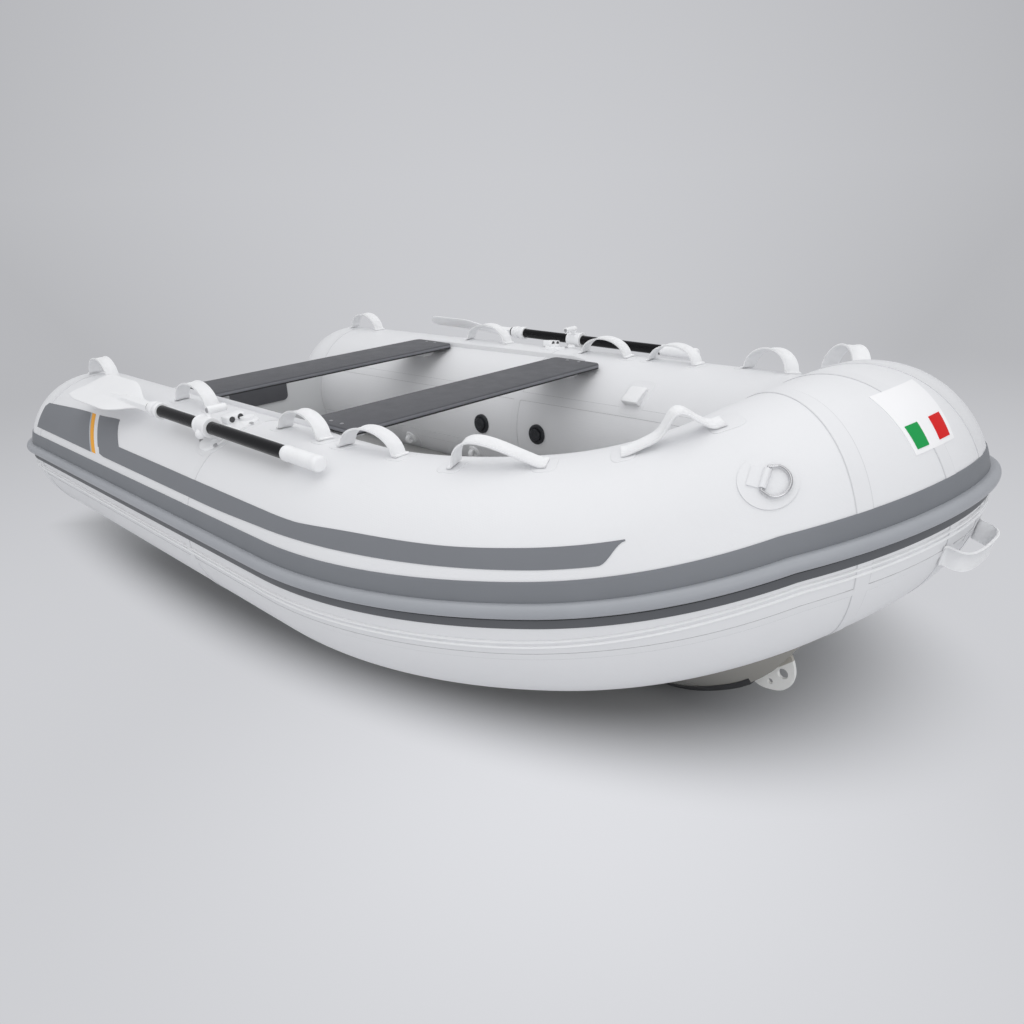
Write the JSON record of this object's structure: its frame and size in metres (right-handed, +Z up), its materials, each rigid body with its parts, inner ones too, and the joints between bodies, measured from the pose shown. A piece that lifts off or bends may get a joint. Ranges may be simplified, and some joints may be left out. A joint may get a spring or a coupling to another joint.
{
  "type": "rigid inflatable boat",
  "caption": "Small inflatable boat with a rigid V hull, fat grey-white air collar, dark rubbing strake, bench seats, grab loops and stowed oars.",
  "frame": {"origin": "middle of the boat's outer box, on the floor it stands on", "axes": "+X to the bow, +Y to port, +Z up"},
  "size_m": [3.2515, 1.8462, 0.9435],
  "materials": {
    "collar_fabric": "satin coated fabric",
    "strake_rubber": "satin",
    "hull_laminate": "gelcoat",
    "transom_laminate": "gelcoat",
    "keel_guard": "matt",
    "grey_board": "satin",
    "webbing": "webbing",
    "stainless": "polished",
    "oar_alloy": "gloss",
    "valve_plastic": "satin",
    "collar_patch": "coated fabric",
    "white_plastic": "satin"
  },
  "bodies": {
    "boat": {"aft_seat": "grey_board", "bow_handle": "webbing", "bow_tube": "collar_fabric", "deck_panel": "hull_laminate", "fore_seat": "grey_board", "hull_shell": "hull_laminate", "keel_strip": "keel_guard", "port_bag_tab": "collar_patch", "port_d_ring": "stainless", "port_d_ring_patch": "collar_patch", "port_grab_loop_1": "webbing", "port_grab_loop_2": "webbing", "port_grab_loop_3": "webbing", "port_grab_loop_4": "webbing", "port_grab_loop_5": "webbing", "port_grab_loop_6": "webbing", "port_lifting_eyes": "white_plastic", "port_rowlock_base": "white_plastic", "port_seat_clips": "white_plastic", "port_seat_rail": "collar_patch", "port_stern_dome": "collar_fabric", "port_tube": "collar_fabric", "port_valves": "valve_plastic", "rub_strake_band": "strake_rubber", "rub_strake_bead": "strake_rubber", "starboard_bag_tab": "collar_patch", "starboard_d_ring": "stainless", "starboard_d_ring_patch": "collar_patch", "starboard_grab_loop_1": "webbing", "starboard_grab_loop_2": "webbing", "starboard_grab_loop_3": "webbing", "starboard_grab_loop_4": "webbing", "starboard_grab_loop_5": "webbing", "starboard_grab_loop_6": "webbing", "starboard_lifting_eyes": "white_plastic", "starboard_rowlock_base": "white_plastic", "starboard_seat_clips": "white_plastic", "starboard_seat_rail": "collar_patch", "starboard_stern_dome": "collar_fabric", "starboard_tube": "collar_fabric", "starboard_valves": "valve_plastic", "stem_tow_plate": "stainless", "transom_board": "transom_laminate", "transom_pad_inner": "grey_board", "transom_pad_outer": "grey_board"},
    "port_oar": {"port_rowlock_ring": "white_plastic", "port_oar_shaft": "oar_alloy", "port_oar_blade": "white_plastic", "port_oar_collar": "white_plastic", "port_oar_grip": "white_plastic"},
    "starboard_oar": {"starboard_rowlock_ring": "white_plastic", "starboard_oar_shaft": "oar_alloy", "starboard_oar_blade": "white_plastic", "starboard_oar_collar": "white_plastic", "starboard_oar_grip": "white_plastic"}
  },
  "joints": [
    {"name": "port_oar_sweep", "type": "hinge", "parent": "boat", "child": "port_oar", "pos_m": [-0.1278, 0.7653, 0.7494], "axis": [0, 0.6157, 0.788], "range_deg": [-130, 0]},
    {"name": "starboard_oar_sweep", "type": "hinge", "parent": "boat", "child": "starboard_oar", "pos_m": [-0.1278, -0.7653, 0.7494], "axis": [0, -0.6157, 0.788], "range_deg": [0, 130]}
  ]
}
